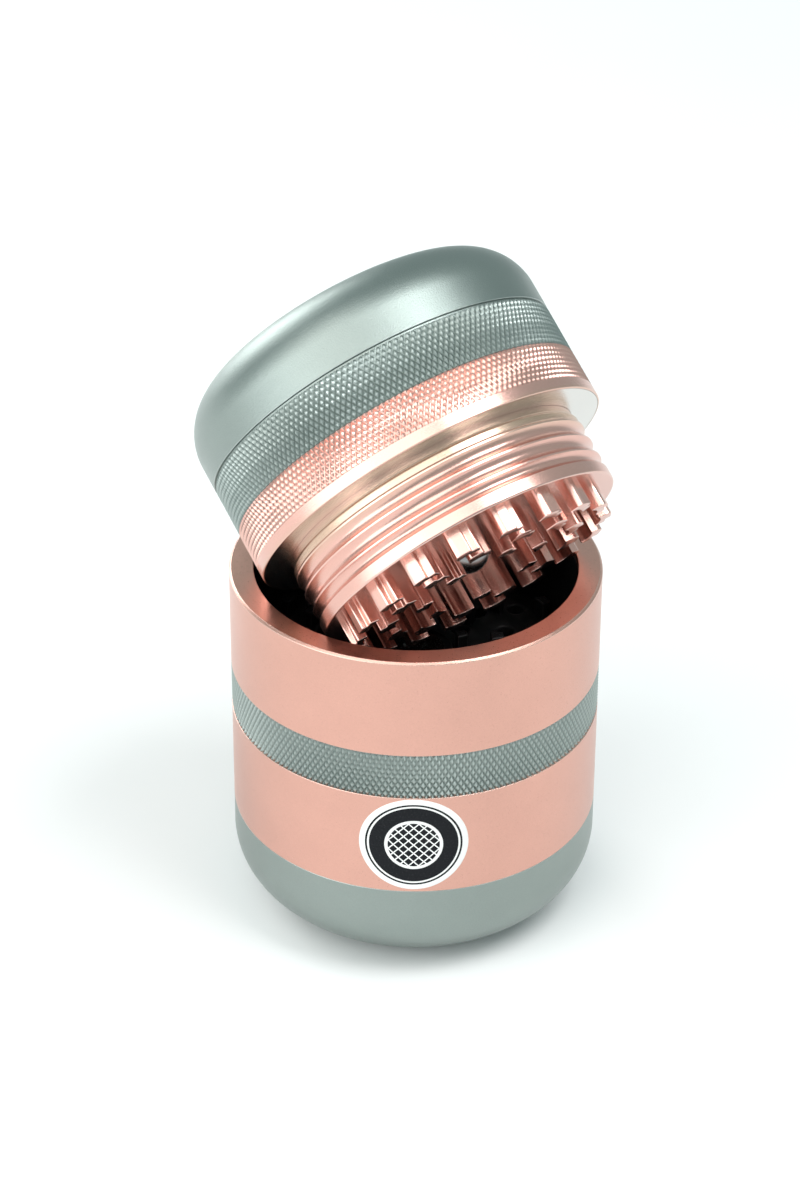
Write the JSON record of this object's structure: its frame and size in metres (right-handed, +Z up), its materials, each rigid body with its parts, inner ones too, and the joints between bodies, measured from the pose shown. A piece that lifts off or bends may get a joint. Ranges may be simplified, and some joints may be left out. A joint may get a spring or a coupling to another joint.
{
  "type": "herb and spice grinder",
  "caption": "Round two-tone metal hand grinder: base cup, screen collector, toothed chamber and a storage lid whose toothed plug leans in the open mouth.",
  "frame": {"origin": "on the stack's axis, at the flat face under the base cup", "axes": "+Z up along the stack's axis; the label faces -Y; the lid leans towards -X +Y"},
  "size_m": [0.0693, 0.0704, 0.121],
  "materials": {
    "sage_anodised": "matte",
    "rose_anodised": "satin",
    "black_anodised": "matte",
    "screen_steel": "satin",
    "magnet_nickel": "polished",
    "bare_steel": "satin",
    "seal_rubber": "matte",
    "label_print": "gloss",
    "silicone": "matte"
  },
  "bodies": {
    "base": {"base_cup": "sage_anodised"},
    "lower_seal": {"base_seal": "seal_rubber"},
    "collector_body": {"collector": "rose_anodised", "screen_gasket": "silicone", "screen_frame": "screen_steel", "screen_mesh": "screen_steel", "screen_retainer": "screen_steel", "collector_label": "label_print"},
    "upper_seal": {"chamber_seal": "seal_rubber"},
    "chamber": {"plate_ring": "sage_anodised", "tooth_plate": "black_anodised", "plate_magnet": "magnet_nickel", "chamber_liner": "black_anodised", "chamber_sleeve": "rose_anodised", "sleeve_seal": "seal_rubber"},
    "pivot": {"pivot_ball": "magnet_nickel"},
    "glide": {"glide_ring": "bare_steel"},
    "head": {"grinding_head": "rose_anodised", "ball_keeper": "screen_steel"},
    "cap_seal": {"storage_seal": "seal_rubber"},
    "cap": {"lid_cap": "sage_anodised"}
  },
  "joints": [
    {"name": "base_turn", "type": "hinge", "parent": "base", "child": "lower_seal", "pos_m": [0, 0, 0.0192], "axis": [0, 0, 1], "range_deg": [0, 900]},
    {"name": "base_rise", "type": "slide", "parent": "lower_seal", "child": "collector_body", "axis": [0, 0, 1], "range_m": [0, 0.005]},
    {"name": "chamber_turn", "type": "hinge", "parent": "collector_body", "child": "upper_seal", "pos_m": [0, 0, 0.0381], "axis": [0, 0, 1], "range_deg": [0, 900]},
    {"name": "chamber_rise", "type": "slide", "parent": "upper_seal", "child": "chamber", "axis": [0, 0, 1], "range_m": [0, 0.005]},
    {"name": "lid_lift", "type": "slide", "parent": "chamber", "child": "pivot", "axis": [-0.1322, 0.1729, 0.976], "range_m": [0, 0.0615]},
    {"name": "lid_tilt", "type": "hinge", "parent": "pivot", "child": "glide", "pos_m": [0.00813, -0.01063, 0.07338], "axis": [0.7944, 0.6074, 0], "range_deg": [0, 52.2]},
    {"name": "lid_turn", "type": "hinge", "parent": "glide", "child": "head", "pos_m": [-0.00152, 0.00199, 0.0857], "axis": [-0.4799, 0.6277, 0.6129], "continuous": true},
    {"name": "cap_turn", "type": "hinge", "parent": "head", "child": "cap_seal", "pos_m": [-0.00152, 0.00199, 0.0857], "axis": [-0.4799, 0.6277, 0.6129], "range_deg": [0, 900]},
    {"name": "cap_rise", "type": "slide", "parent": "cap_seal", "child": "cap", "axis": [-0.4799, 0.6277, 0.6129], "range_m": [0, 0.005]}
  ],
  "couplings": [
    {"joint": "base_turn", "follows": "base_rise", "rad_per_m": 3141.6},
    {"joint": "chamber_turn", "follows": "chamber_rise", "rad_per_m": 3141.6},
    {"joint": "cap_turn", "follows": "cap_rise", "rad_per_m": 3141.6}
  ]
}
